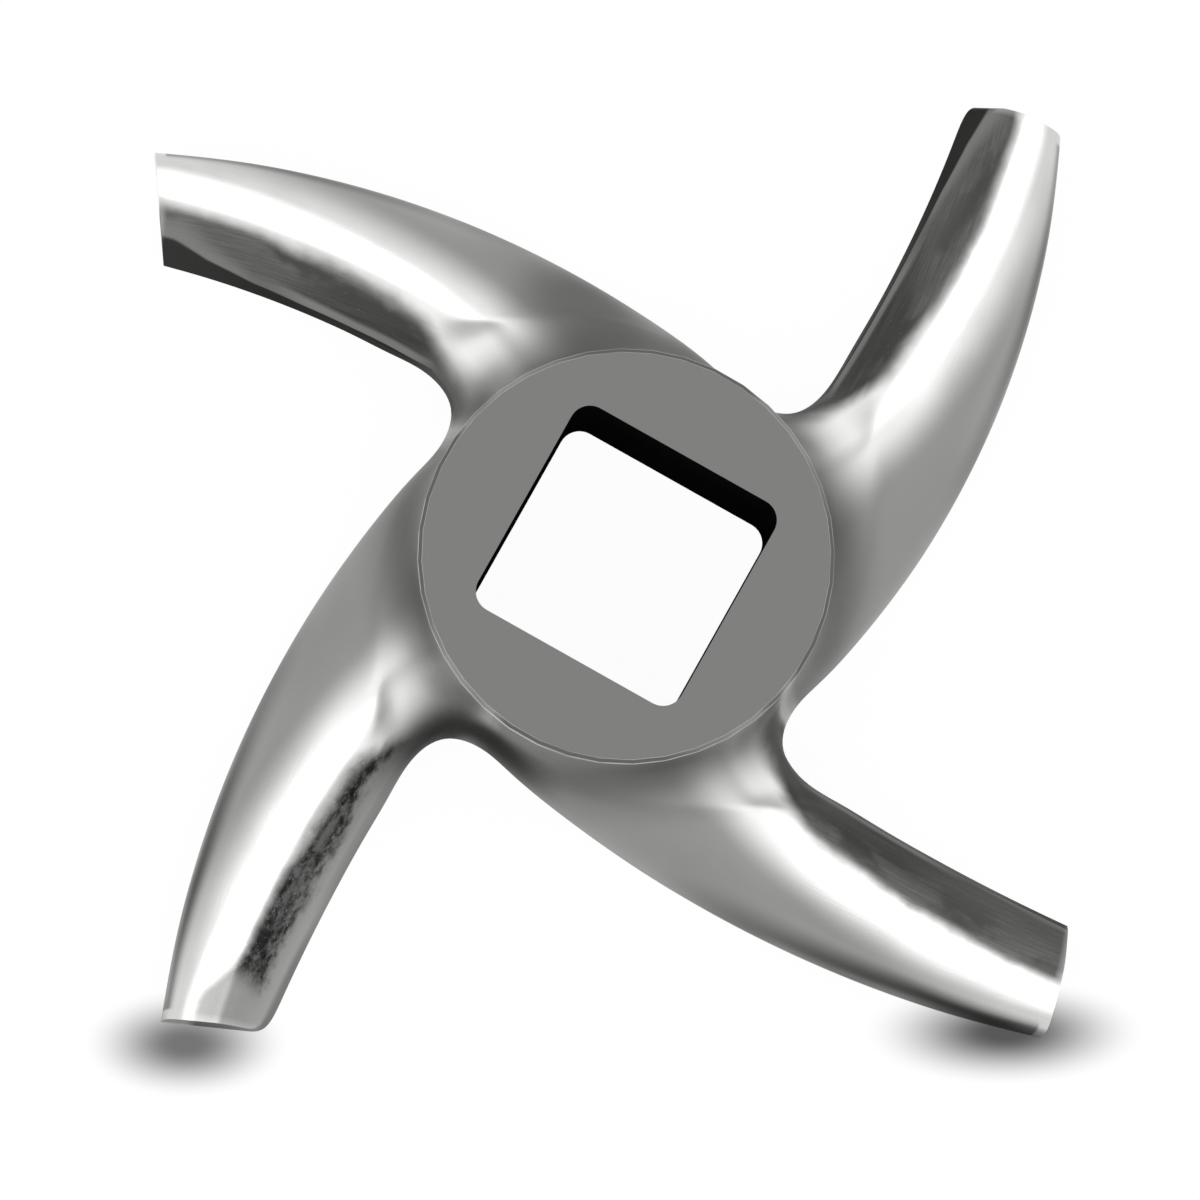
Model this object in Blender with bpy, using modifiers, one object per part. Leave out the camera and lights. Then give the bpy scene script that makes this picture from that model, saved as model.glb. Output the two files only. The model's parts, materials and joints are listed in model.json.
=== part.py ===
# Meat grinder knife: one stainless casting, four swept arms round a hub with a square hole.
# Lengths are in metres. z = 0 is the ground cutting plane, and +Z runs along the hole's axis
# to the hub's proud face. The sizes describe an arm that points along +X. The four arms are
# that arm turned about the axis, and each leads anticlockwise with its cutting edge. They are
# ground by hand, so each arm's plan differs a little from the drawing, by the shares below.

import math

import bmesh
import bpy
from mathutils import Matrix, Vector, kdtree

# Whole knife
PART_NAME = "grinder_knife"
NODE_NAME = "knife"
ARM_COUNT = 4
KNIFE_DIAMETER = 0.078

# Hub
HUB_DIAMETER = 0.0252
HUB_HEIGHT = 0.014
RIM_CHAMFER = 0.00025
HUB_DRAFT = 0.00015
HOLE_SIDE = 0.0141
HOLE_CORNER_RADIUS = 0.0013
HOLE_OVERRUN = 0.002

# Plan of an arm: the trailing arc, the nearly straight cutting arc, and the bay's fillet
WEB_WIDTH = 0.0029
TRAILING_RADIUS = 0.063
TRAILING_CENTRE_X = 0.013
CUTTING_RADIUS = 0.130
CUTTING_CENTRE_X = 0.021
CUTTING_OFFSET = 0.0055
LEADING_CORNER_REACH = 0.0356
BAY_FILLET = 0.003

# Each arm's share of the plan's sizes, from the arm along +X round anticlockwise
WEB_SHARES = (1.20, 0.87, 0.98, 0.91)
TRAILING_RADIUS_SHARES = (0.84, 0.97, 1.02, 1.19)
TRAILING_CENTRE_SHARES = (1.10, 0.82, 1.09, 1.15)
CUTTING_RADIUS_SHARES = (0.63, 0.50, 0.90, 0.99)
CUTTING_CENTRE_SHARES = (1.07, 0.82, 1.07, 1.17)
CUTTING_OFFSET_SHARES = (1.07, 0.97, 1.02, 1.0)
TIP_REACH_SHARES = (0.992, 0.993, 1.008, 0.993)
LEADING_CORNER_SHARES = (1.043, 0.956, 0.997, 0.992)
FACET_SHARES = (1.1, 1.2, 0.1, 0.1)
SHARP_CORNER_SHARES = (0.0, 1.0, 0.0, 1.0)

# Heights of the arm's edges and crest, and how far its sides lean in
CREST_ROOT_HEIGHT = 0.0094
CREST_TIP_HEIGHT = 0.0057
TRAILING_ROOT_HEIGHT = 0.0028
TRAILING_TIP_HEIGHT = 0.0036
BAY_HEIGHT = 0.0036
FACET_ROOT_HEIGHT = 0.0011
FACET_TIP_HEIGHT = 0.0027
FACET_ROOT_LEAN = 0.00025
FACET_TIP_LEAN = 0.0013
TRAILING_LEAN = 0.00015
BAY_LEAN = 0.0007

# Stations along the arm, from root to tip
TRAILING_STATION_SHARES = (0.08, 0.22, 0.37, 0.53, 0.69, 0.85, 1.0)
CUTTING_STATION_SHARES = (0.0, 0.15, 0.31, 0.50, 0.69, 0.86, 1.0)
CREST_FALL_SHARES = (0.0, 0.06, 0.20, 0.38, 0.58, 0.80, 1.0)
FACET_GROWTH_SHARES = (0.0, 0.0, 0.0, 0.04, 0.18, 0.52, 1.0)

# A section's columns, from the trailing edge to the cutting edge, and how high each rises
ROOT_ACROSS_SHARES = (0.0, 0.12, 0.32, 0.52, 0.71, 0.81, 0.90, 1.0)
TIP_ACROSS_SHARES = (0.0, 0.07, 0.18, 0.34, 0.53, 0.63, 0.80, 1.0)
ROOT_RISE_SHARES = (0.0, 0.41, 0.76, 0.95, 1.0, 0.89, 0.52, 0.0)
TIP_RISE_SHARES = (0.0, 0.62, 0.85, 0.97, 1.0, 0.90, 0.52, 0.0)

# Columns round a quarter of the hub's wall: the arm's, then the bay's
FIRST_COLUMN_DEGREES = -86.0
WALL_FOOT_SHARES = (0.45, 0.50, 0.58, 0.66, 0.72, 0.74, 0.71, 0.63, 0.54, 0.48)
BAY_STATION_SHARES = (0.5, 1.0)

# Smoothness
SUBDIVISIONS = 2
FACET_CREASE = 0.8
SHARP_DEGREES = 35.0
FLAT_DEGREES = 0.05
HOLE_CORNER_STEPS = 6
OUTLINE_PASSES = 12
MERGE_DISTANCE = 0.000001

STEEL_COLOUR = (0.56, 0.56, 0.55, 1.0)
STEEL_ROUGHNESS = 0.25

ARM_COLUMNS = len(ROOT_ACROSS_SHARES)
COLUMNS = len(WALL_FOOT_SHARES)
STATIONS = len(TRAILING_STATION_SHARES)
AXIS = Vector((0.0, 0.0))


def turned(plan, arms):
    """The plan point carried on round the axis by this many arms."""
    return Matrix.Rotation(arms * math.tau / ARM_COUNT, 2) @ plan


def blend(first, last, share):
    return first + (last - first) * share


def polar(radius, angle):
    return Vector((radius * math.cos(angle), radius * math.sin(angle)))


def leaned(point, towards, lean):
    return point + (towards - point).normalized() * lean


def circles_meet(centre_a, radius_a, centre_b, radius_b):
    """Where two circles cross, on the left of the way from a to b."""
    way = centre_b - centre_a
    gap = way.length
    along = (gap**2 + radius_a**2 - radius_b**2) / (2 * gap)
    aside = math.sqrt(radius_a**2 - along**2)
    way.normalize()
    return centre_a + way * along + Vector((-way.y, way.x)) * aside


class Arc:
    """A stretch of a circle that starts and ends at two points on it."""

    def __init__(self, centre, radius, start, end):
        self.centre, self.radius = centre, radius
        self.first = math.atan2(start.y - centre.y, start.x - centre.x)
        last = math.atan2(end.y - centre.y, end.x - centre.x)
        self.sweep = math.remainder(last - self.first, math.tau)

    def at(self, share):
        return self.centre + polar(self.radius, self.first + self.sweep * share)


def trailing_circle(arm):
    """Centre and radius of an arm's trailing edge, with the arm laid along +X."""
    radius = TRAILING_RADIUS * TRAILING_RADIUS_SHARES[arm]
    reach = HUB_DIAMETER / 2 + WEB_WIDTH * WEB_SHARES[arm]
    return Vector((TRAILING_CENTRE_X * TRAILING_CENTRE_SHARES[arm], radius - reach)), radius


def cutting_circle(arm):
    """Centre and radius of an arm's cutting edge, with the arm laid along +X."""
    radius = CUTTING_RADIUS * CUTTING_RADIUS_SHARES[arm]
    offset = CUTTING_OFFSET * CUTTING_OFFSET_SHARES[arm]
    return Vector((CUTTING_CENTRE_X * CUTTING_CENTRE_SHARES[arm], radius - offset)), radius


def bay_arc(arm):
    """The fillet from an arm's cutting edge to the next arm's trailing edge."""
    cutting_centre, cutting_radius = cutting_circle(arm)
    next_centre, next_radius = trailing_circle((arm + 1) % ARM_COUNT)
    next_centre = turned(next_centre, 1)
    centre = circles_meet(
        cutting_centre, cutting_radius - BAY_FILLET, next_centre, next_radius + BAY_FILLET
    )
    cutting_root = leaned(cutting_centre, centre, cutting_radius)
    return Arc(centre, BAY_FILLET, cutting_root, leaned(next_centre, centre, next_radius))


def arm_arcs(arm):
    """The trailing, cutting and bay arcs of an arm, with the arm laid along +X."""
    trailing_centre, trailing_radius = trailing_circle(arm)
    cutting_centre, cutting_radius = cutting_circle(arm)
    tip_reach = KNIFE_DIAMETER / 2 * TIP_REACH_SHARES[arm]
    corner_reach = LEADING_CORNER_REACH * LEADING_CORNER_SHARES[arm]
    trailing_tip = circles_meet(trailing_centre, trailing_radius, AXIS, tip_reach)
    cutting_tip = circles_meet(cutting_centre, cutting_radius, AXIS, corner_reach)
    bay = bay_arc(arm)
    trailing_root = turned(bay_arc((arm - 1) % ARM_COUNT).at(1), -1)
    return (
        Arc(trailing_centre, trailing_radius, trailing_root, trailing_tip),
        Arc(cutting_centre, cutting_radius, bay.at(0), cutting_tip),
        bay,
    )


def pushed_out(loop, corners):
    """Cage points whose subdivided curve runs through the loop's points, corners kept."""
    cage = [point.copy() for point in loop]
    for _ in range(OUTLINE_PASSES):
        for i, wanted in enumerate(loop):
            if i not in corners:
                beside = cage[i - 1] + cage[(i + 1) % len(loop)]
                cage[i] += wanted - (beside + 4 * cage[i]) / 6
    return cage


def wanted_outline(arm):
    """Points of an arm's outline in turn: trailing edge, tip, cutting edge and bay."""
    trailing, cutting, bay = arm_arcs(arm)
    back = [trailing.at(share) for share in TRAILING_STATION_SHARES]
    front = [cutting.at(share) for share in CUTTING_STATION_SHARES]
    tip = [blend(back[-1], front[-1], share) for share in TIP_ACROSS_SHARES]
    hollow = [bay.at(share) for share in BAY_STATION_SHARES]
    return back[:-1] + tip + front[-2::-1] + hollow


def ground_outlines():
    """For each arm laid along +X, the cage of its outline on the cutting plane."""
    loop = [turned(point, arm) for arm in range(ARM_COUNT) for point in wanted_outline(arm)]
    count = len(loop) // ARM_COUNT
    tip_end = STATIONS + ARM_COLUMNS - 1
    front_end = tip_end + STATIONS - 1
    tip_corners = (STATIONS - 1, tip_end - 1)
    corners = {corner + arm * count for arm in range(ARM_COUNT) for corner in tip_corners}
    pushed = pushed_out(loop, corners)
    plans = []
    for arm in range(ARM_COUNT):
        cage = [turned(point, -arm) for point in pushed[arm * count : (arm + 1) * count]]
        plans.append(
            {
                "back": cage[:STATIONS],
                "tip": cage[STATIONS - 1 : tip_end],
                "front": cage[tip_end - 1 : front_end][::-1],
                "hollow": cage[front_end:],
            }
        )
    return plans


def raised(plan, height):
    return Vector((plan.x, plan.y, height))


def cage_point(plan, height, foot=None):
    """A point of the cage with its foot, the point that lies under it on the cutting plane."""
    return plan, height, plan if foot is None else foot


def hub_rows():
    """The rim and the foot of the hub's wall, round one quarter."""
    step = math.tau / (ARM_COUNT * COLUMNS)
    # Subdividing draws a ring in, so the cage's ring is made this much larger.
    swell = 3 / (2 + math.cos(step))
    radius = HUB_DIAMETER / 2 * swell
    rim_height = HUB_HEIGHT - RIM_CHAMFER
    angles = [math.radians(FIRST_COLUMN_DEGREES) + column * step for column in range(COLUMNS)]
    face = [cage_point(polar(radius - RIM_CHAMFER, angle), HUB_HEIGHT) for angle in angles]
    rim = [cage_point(polar(radius, angle), rim_height) for angle in angles]
    wall_foot = [
        cage_point(polar(radius + HUB_DRAFT, angle), HUB_HEIGHT * share)
        for angle, share in zip(angles, WALL_FOOT_SHARES)
    ]
    return face, rim, wall_foot


def bent_round_axis(start, end, share):
    first, last = math.atan2(start.y, start.x), math.atan2(end.y, end.x)
    return polar(blend(start.length, end.length, share), blend(first, last, share))


def arm_row(arm, station, plan):
    """One section of an arm laid along +X, from the trailing edge to the cutting edge."""
    share = station / (STATIONS - 1)
    growth = FACET_GROWTH_SHARES[station] * FACET_SHARES[arm]
    crest = blend(CREST_ROOT_HEIGHT, CREST_TIP_HEIGHT, CREST_FALL_SHARES[station])
    trailing_height = blend(TRAILING_ROOT_HEIGHT, TRAILING_TIP_HEIGHT, share)
    facet_height = blend(FACET_ROOT_HEIGHT, FACET_TIP_HEIGHT, growth)
    facet_lean = blend(FACET_ROOT_LEAN, FACET_TIP_LEAN, growth)
    back, front = plan["back"][station], plan["front"][station]
    start = leaned(back, front, TRAILING_LEAN)
    end = leaned(front, back, facet_lean)
    feet = [back] + [None] * (ARM_COLUMNS - 2) + [front]
    if station == STATIONS - 1:
        feet = plan["tip"]
    row = []
    for column, foot in enumerate(feet):
        across = blend(ROOT_ACROSS_SHARES[column], TIP_ACROSS_SHARES[column], share)
        rise = blend(ROOT_RISE_SHARES[column], TIP_RISE_SHARES[column], share)
        edge_height = blend(trailing_height, facet_height, across)
        place = blend(start, end, across) if station else bent_round_axis(start, end, across)
        row.append(cage_point(place, blend(edge_height, crest, rise), foot))
    return row


def turned_row(row, arms):
    return [(turned(plan, arms), height, turned(foot, arms)) for plan, height, foot in row]


def quarter_rows(arm, plans):
    """A quarter's rows of cage points: over the hub's wall, over the arm, over the bay."""
    plan, next_arm = plans[arm], (arm + 1) % ARM_COUNT
    face, rim, wall_foot = hub_rows()
    sections = [arm_row(arm, station, plan) for station in range(STATIONS)]
    next_root = arm_row(next_arm, 0, plans[next_arm])[:1]
    brink = [cage_point(leaned(foot, AXIS, BAY_LEAN), BAY_HEIGHT, foot) for foot in plan["hollow"]]
    hub = [row + turned_row(row[:1], 1) for row in (face, rim, wall_foot)]
    over_arm = [wall_foot[:ARM_COLUMNS]] + sections
    shore = sections[0][-1:] + brink + turned_row(next_root, 1)
    over_bay = [hub[-1][ARM_COLUMNS - 1 :], shore]
    return [[turned_row(row, arm) for row in rows] for rows in (hub, over_arm, over_bay)]


def loft(mesh, rows, foot_layer):
    """Quads between neighbouring rows of cage points."""
    lines = []
    for row in rows:
        line = []
        for plan, height, foot in row:
            vertex = mesh.verts.new(raised(plan, height))
            vertex[foot_layer] = raised(foot, 0.0)
            line.append(vertex)
        lines.append(line)
    for near, far in zip(lines, lines[1:]):
        for i in range(len(near) - 1):
            mesh.faces.new((near[i], far[i], far[i + 1], near[i + 1]))


def at_height(edge, height):
    return all(abs(vertex.co.z - height) < MERGE_DISTANCE for vertex in edge.verts)


def knife_cage():
    """The closed cage: a lofted sheet, extruded and pressed flat on the cutting plane."""
    plans = ground_outlines()
    quarters = [quarter_rows(arm, plans) for arm in range(ARM_COUNT)]
    mesh = bmesh.new()
    foot_layer = mesh.verts.layers.float_vector.new("foot")
    for quarter in quarters:
        for rows in quarter:
            loft(mesh, rows, foot_layer)
    bmesh.ops.remove_doubles(mesh, verts=mesh.verts, dist=MERGE_DISTANCE)
    face_ring = [edge for edge in mesh.edges if edge.is_boundary and at_height(edge, HUB_HEIGHT)]
    bmesh.ops.edgeloop_fill(mesh, edges=face_ring)

    pressed = bmesh.ops.extrude_face_region(mesh, geom=mesh.faces[:])
    for item in pressed["geom"]:
        if isinstance(item, bmesh.types.BMVert):
            item.co = item[foot_layer]
    bmesh.ops.recalc_face_normals(mesh, faces=mesh.faces)
    crease_cage(mesh, quarters)
    return mesh


def crease_cage(mesh, quarters):
    """Keeps the rim, the tips and the ground outline sharp, and the facet's top edge firm."""
    layer = mesh.edges.layers.float.new("crease_edge")
    flat = math.cos(math.radians(SHARP_DEGREES))
    for edge in mesh.edges:
        if at_height(edge, 0) and any(abs(face.normal.z) < flat for face in edge.link_faces):
            edge[layer] = 1.0

    mesh.verts.index_update()
    mesh.verts.ensure_lookup_table()
    tree = kdtree.KDTree(len(mesh.verts))
    for vertex in mesh.verts:
        tree.insert(vertex.co, vertex.index)
    tree.balance()
    for arm, (hub, over_arm, _) in enumerate(quarters):
        tip = over_arm[-1]
        trailing_corner, leading_corner = (
            [point, cage_point(point[2], 0.0)] for point in (tip[0], tip[-1])
        )
        facet_top = [row[-1] for row in over_arm[1:]]
        lines = [(line, 1.0) for line in (hub[0], hub[1], tip, trailing_corner)]
        lines += [(facet_top, FACET_CREASE), (leading_corner, SHARP_CORNER_SHARES[arm])]
        for line, crease in lines:
            places = [raised(plan, height) for plan, height, _ in line]
            corners = [mesh.verts[tree.find(place)[1]] for place in places]
            for pair in zip(corners, corners[1:]):
                edge = mesh.edges.get(pair)
                edge[layer] = max(edge[layer], crease)


def add_object(name, mesh, collection):
    data = bpy.data.meshes.new(name)
    mesh.to_mesh(data)
    mesh.free()
    obj = bpy.data.objects.new(name, data)
    collection.objects.link(obj)
    return obj


def add_collection(name):
    collection = bpy.data.collections.new(name)
    bpy.context.scene.collection.children.link(collection)
    return collection


def add_hole_cutter(collection):
    """A square bar with rounded corners, longer than the hub is high."""
    mesh = bmesh.new()
    bmesh.ops.create_cube(mesh, size=1.0)
    length = HUB_HEIGHT + 2 * HOLE_OVERRUN
    bmesh.ops.scale(mesh, vec=(HOLE_SIDE, HOLE_SIDE, length), verts=mesh.verts)
    bmesh.ops.translate(mesh, vec=(0, 0, HUB_HEIGHT / 2), verts=mesh.verts)
    upright = [edge for edge in mesh.edges if edge.verts[0].co.xy == edge.verts[1].co.xy]
    bmesh.ops.bevel(
        mesh,
        geom=upright,
        offset=HOLE_CORNER_RADIUS,
        segments=HOLE_CORNER_STEPS,
        profile=0.5,
        affect="EDGES",
    )
    cutter = add_object("hole_cutter", mesh, collection)
    cutter.hide_render = True
    cutter.display_type = "WIRE"
    return cutter


def steel():
    material = bpy.data.materials.new("polished_cast_steel")
    material.use_nodes = True
    shader = material.node_tree.nodes["Principled BSDF"]
    shader.inputs["Base Color"].default_value = STEEL_COLOUR
    shader.inputs["Metallic"].default_value = 1.0
    shader.inputs["Roughness"].default_value = STEEL_ROUGHNESS
    return material


def main():
    for obj in list(bpy.data.objects):
        bpy.data.objects.remove(obj)
    part = add_collection(PART_NAME)
    cutter = add_hole_cutter(add_collection("cutters"))
    knife = add_object(NODE_NAME, knife_cage(), part)
    knife.data.materials.append(steel())

    smooth = knife.modifiers.new("cast_form", "SUBSURF")
    smooth.levels = smooth.render_levels = SUBDIVISIONS
    flats = knife.modifiers.new("ground_flats", "DECIMATE")
    flats.decimate_type = "DISSOLVE"
    flats.angle_limit = math.radians(FLAT_DEGREES)
    hole = knife.modifiers.new("square_hole", "BOOLEAN")
    hole.operation = "DIFFERENCE"
    hole.object = cutter
    knife.data.shade_smooth()
    knife.data.set_sharp_from_angle(angle=math.radians(SHARP_DEGREES))


main()
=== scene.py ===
# %% [markdown]
# # A cast meat grinder knife, from rough cage to polished steel
#
# The knife is one stainless casting: four swept arms round a hub with a square hole. It lies here
# on its ground cutting face, with the hub's proud face up, and the camera looks down on it. The
# lesson models it as a coarse cage with Blender's own edit tools, arm by arm, and lets
# Subdivision Surface draw the flowing form. Then it gives the steel its finishes and paints in its
# light and shade: a polish on the arms' backs, duller fronts painted dark as a dark reflection, a
# ground face on the hub.

# %% Load the measured solid
import json
import math

import bmesh
import bpy
import numpy as np
from mathutils import Matrix, Vector

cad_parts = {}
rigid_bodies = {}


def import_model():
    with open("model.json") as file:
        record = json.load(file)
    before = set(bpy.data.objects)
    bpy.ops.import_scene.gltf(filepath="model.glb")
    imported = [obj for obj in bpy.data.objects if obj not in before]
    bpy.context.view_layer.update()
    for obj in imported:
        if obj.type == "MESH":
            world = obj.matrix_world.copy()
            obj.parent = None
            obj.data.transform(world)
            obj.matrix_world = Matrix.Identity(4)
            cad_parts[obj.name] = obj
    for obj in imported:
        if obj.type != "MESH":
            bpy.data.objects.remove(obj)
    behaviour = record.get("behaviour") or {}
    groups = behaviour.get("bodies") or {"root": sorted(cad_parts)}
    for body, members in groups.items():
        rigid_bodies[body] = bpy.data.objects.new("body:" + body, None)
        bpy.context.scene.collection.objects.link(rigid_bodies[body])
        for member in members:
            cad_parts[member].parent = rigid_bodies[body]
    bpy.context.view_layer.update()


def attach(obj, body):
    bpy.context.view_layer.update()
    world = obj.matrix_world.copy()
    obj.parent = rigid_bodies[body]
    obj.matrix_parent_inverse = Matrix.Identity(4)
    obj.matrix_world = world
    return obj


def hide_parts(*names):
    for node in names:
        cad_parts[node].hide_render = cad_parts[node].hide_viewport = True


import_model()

# %% [markdown]
# ## The camera
#
# The picture was taken almost straight down, from about 620 mm, with the knife turned so that
# one arm points up and to the right. A long lens keeps the far end of the square hole nearly as
# large as the near end. The view's slight tilt is what shows one of the hole's walls.

# %% Place the camera
camera_data = bpy.data.cameras.new("camera")
camera_data.lens = 300
camera_data.sensor_width = 36
camera_data.clip_start = 0.01
camera = bpy.data.objects.new("camera", camera_data)
camera.location = (-0.06743, -0.00303, 0.61563)
camera.rotation_euler = [math.radians(angle) for angle in (5.463, -2.730, -60.759)]
bpy.context.scene.collection.objects.link(camera)
bpy.context.scene.camera = camera
print("camera height, mm:", round(1000 * camera.location.z))

# %% [markdown]
# ## The sizes
#
# These are the sizes a pattern maker would mark on the drawing. An arm's plan is two arcs: a
# trailing arc, and a nearly straight cutting arc. A small fillet, the bay, joins the cutting arc
# to the next arm's trailing arc. Heights fall from the hub to the tip.

# %% Write down the sizes
ARMS = 4
SWEEP_DIAMETER = 0.078
HUB_DIAMETER = 0.0252
HUB_HEIGHT = 0.014
RIM_CHAMFER = 0.00025
HOLE_SIDE = 0.0141
HOLE_CORNER = 0.0013

WEB_WIDTH = 0.0029
TRAILING_RADIUS = 0.063
TRAILING_CENTRE_X = 0.013
CUTTING_RADIUS = 0.130
CUTTING_CENTRE_X = 0.021
CUTTING_OFFSET = 0.0055
LEADING_CORNER_REACH = 0.0356
BAY_FILLET = 0.003

CREST_HEIGHTS = (0.0094, 0.0057)
TRAILING_HEIGHTS = (0.0028, 0.0036)
FACET_HEIGHTS = (0.0011, 0.0027)
FACET_LEANS = (0.00025, 0.0013)
TRAILING_LEAN = 0.00015
BAY_LEAN = 0.0007
BAY_HEIGHT = 0.0036

# %% [markdown]
# The arms were ground by hand, so no two are quite alike. Each has its own share of the drawing's
# sizes, from the arm along +X round anticlockwise. The first arm is the most bowed and the last
# the straightest. Two of the leading corners came out sharp and two were rubbed round.

# %% Write down how the arms differ
arm_shares = {
    "web": (1.20, 0.87, 0.98, 0.91),
    "trailing radius": (0.84, 0.97, 1.02, 1.19),
    "trailing centre": (1.10, 0.82, 1.09, 1.15),
    "cutting radius": (0.63, 0.50, 0.90, 0.99),
    "cutting centre": (1.07, 0.82, 1.07, 1.17),
    "cutting offset": (1.07, 0.97, 1.02, 1.0),
    "tip reach": (0.992, 0.993, 1.008, 0.993),
    "leading corner": (1.043, 0.956, 0.997, 0.992),
    "facet": (1.1, 1.2, 0.1, 0.1),
    "sharp corner": (0, 1, 0, 1),
}
print("sizes that differ from arm to arm:", len(arm_shares))

# %% [markdown]
# An arm is drawn as sections from root to tip. Each section has the same eight columns, from
# the trailing edge over the crest to the cutting edge. The tables hold shares: how far along an
# edge a section sits, how far across a column sits, and how much of the rise it has. A casting
# like this is judged by its highlights, so the columns are close together beside the crest,
# where the back turns down into the steep front, and wide apart on the broad back.

# %% Write down the shares
back_shares = (0.08, 0.22, 0.37, 0.53, 0.69, 0.85, 1.0)
front_shares = (0.0, 0.15, 0.31, 0.50, 0.69, 0.86, 1.0)
crest_fall_shares = (0.0, 0.06, 0.20, 0.38, 0.58, 0.80, 1.0)
facet_growth_shares = (0.0, 0.0, 0.0, 0.04, 0.18, 0.52, 1.0)
across_shares = {
    "root": (0.0, 0.12, 0.32, 0.52, 0.71, 0.81, 0.90, 1.0),
    "tip": (0.0, 0.07, 0.18, 0.34, 0.53, 0.63, 0.80, 1.0),
}
rise_shares = {
    "root": (0.0, 0.41, 0.76, 0.95, 1.0, 0.89, 0.52, 0.0),
    "tip": (0.0, 0.62, 0.85, 0.97, 1.0, 0.90, 0.52, 0.0),
}
wall_foot_shares = (0.45, 0.50, 0.58, 0.66, 0.72, 0.74, 0.71, 0.63, 0.54, 0.48)
FIRST_COLUMN = math.radians(-86)
STATIONS, COLUMNS = len(back_shares), len(wall_foot_shares)
ARM_COLUMNS = len(across_shares["root"])
print("sections on an arm:", STATIONS, "- columns on a quarter of the hub:", COLUMNS)


# %% [markdown]
# ## Drawing the plan
#
# A few helpers stand in for the compass and the protractor. `meet` finds where two circles
# cross, which is how the fillet's centre and the tip's corners are found on a drawing board.

# %% Compass and protractor
def turned(point, arms):
    """Turns a point of the plan round the hub's axis, from one arm on to another."""
    return Matrix.Rotation(arms * math.tau / ARMS, 2) @ point


def turned_place(place, arms):
    """The same for a place in space."""
    return Matrix.Rotation(arms * math.tau / ARMS, 3, "Z") @ place


def polar(radius, angle):
    return Vector((radius * math.cos(angle), radius * math.sin(angle)))


def at_height(point, height):
    return Vector((point.x, point.y, height))


def blend(first, last, share):
    return first + (last - first) * share


def leaned(point, towards, lean):
    """Moves a point this far towards another."""
    return point + (towards - point).normalized() * lean


def meet(centre_a, radius_a, centre_b, radius_b):
    """Where two circles cross, on the left of the way from the first centre to the second."""
    way = centre_b - centre_a
    gap = way.length
    along = (gap**2 + radius_a**2 - radius_b**2) / (2 * gap)
    aside = math.sqrt(radius_a**2 - along**2)
    way.normalize()
    return centre_a + way * along + Vector((-way.y, way.x)) * aside


def on_arc(centre, radius, start, end, share):
    """The point that lies this share of the way along the arc from start to end."""
    first = math.atan2(start.y - centre.y, start.x - centre.x)
    last = math.atan2(end.y - centre.y, end.x - centre.x)
    return centre + polar(radius, first + math.remainder(last - first, math.tau) * share)


# %% Find each arm's two circles, laid along +X, and the fillets between the arms
axis = Vector((0, 0))
trailing, cutting, bays = [], [], []
for arm in range(ARMS):
    share = {name: shares[arm] for name, shares in arm_shares.items()}
    radius = TRAILING_RADIUS * share["trailing radius"]
    reach = HUB_DIAMETER / 2 + WEB_WIDTH * share["web"]
    centre = Vector((TRAILING_CENTRE_X * share["trailing centre"], radius - reach))
    trailing.append((centre, radius))
    radius = CUTTING_RADIUS * share["cutting radius"]
    offset = CUTTING_OFFSET * share["cutting offset"]
    centre = Vector((CUTTING_CENTRE_X * share["cutting centre"], radius - offset))
    cutting.append((centre, radius))
for arm in range(ARMS):
    (centre_a, radius_a), (centre_b, radius_b) = cutting[arm], trailing[(arm + 1) % ARMS]
    centre_b = turned(centre_b, 1)
    centre = meet(centre_a, radius_a - BAY_FILLET, centre_b, radius_b + BAY_FILLET)
    bays.append((centre, leaned(centre_a, centre, radius_a), leaned(centre_b, centre, radius_b)))
print("trailing radii, mm:", [round(1000 * radius, 1) for _, radius in trailing])

# %% [markdown]
# The four outlines join into one loop round the knife. Subdivision rounds a cage inwards, so a
# cage drawn on the outline would give a knife that is too small. `pushed_out` moves each point of
# the cage outwards until the smooth curve passes through the wanted point. The two corners of
# each tip stay sharp, so they stay where they are.

# %% Draw the outline
loop, corners = [], set()
for arm in range(ARMS):
    bay_centre, cutting_root, next_root = bays[arm]
    trailing_root = turned(bays[arm - 1][2], -1)
    tip_reach = SWEEP_DIAMETER / 2 * arm_shares["tip reach"][arm]
    corner_reach = LEADING_CORNER_REACH * arm_shares["leading corner"][arm]
    trailing_tip = meet(*trailing[arm], axis, tip_reach)
    cutting_tip = meet(*cutting[arm], axis, corner_reach)
    back = [on_arc(*trailing[arm], trailing_root, trailing_tip, share) for share in back_shares]
    front = [on_arc(*cutting[arm], cutting_root, cutting_tip, share) for share in front_shares]
    tip = [blend(back[-1], front[-1], share) for share in across_shares["tip"]]
    fillet = (bay_centre, BAY_FILLET, cutting_root, next_root)
    hollow = [on_arc(*fillet, share) for share in (0.5, 1.0)]
    corners |= {len(loop) + STATIONS - 1, len(loop) + STATIONS + ARM_COLUMNS - 2}
    loop += [turned(point, arm) for point in back[:-1] + tip + front[-2::-1] + hollow]
print("points on the outline:", len(loop), "- sharp corners:", len(corners))


# %% Push its cage out
PUSHES = 12


def pushed_out(loop, corners):
    """The cage whose smooth curve passes through the loop's points. The corners stay put."""
    cage = [point.copy() for point in loop]
    for _ in range(PUSHES):
        for i, wanted in enumerate(loop):
            if i not in corners:
                beside = cage[i - 1] + cage[(i + 1) % len(loop)]
                cage[i] += wanted - (beside + 4 * cage[i]) / 6
    return cage


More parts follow.
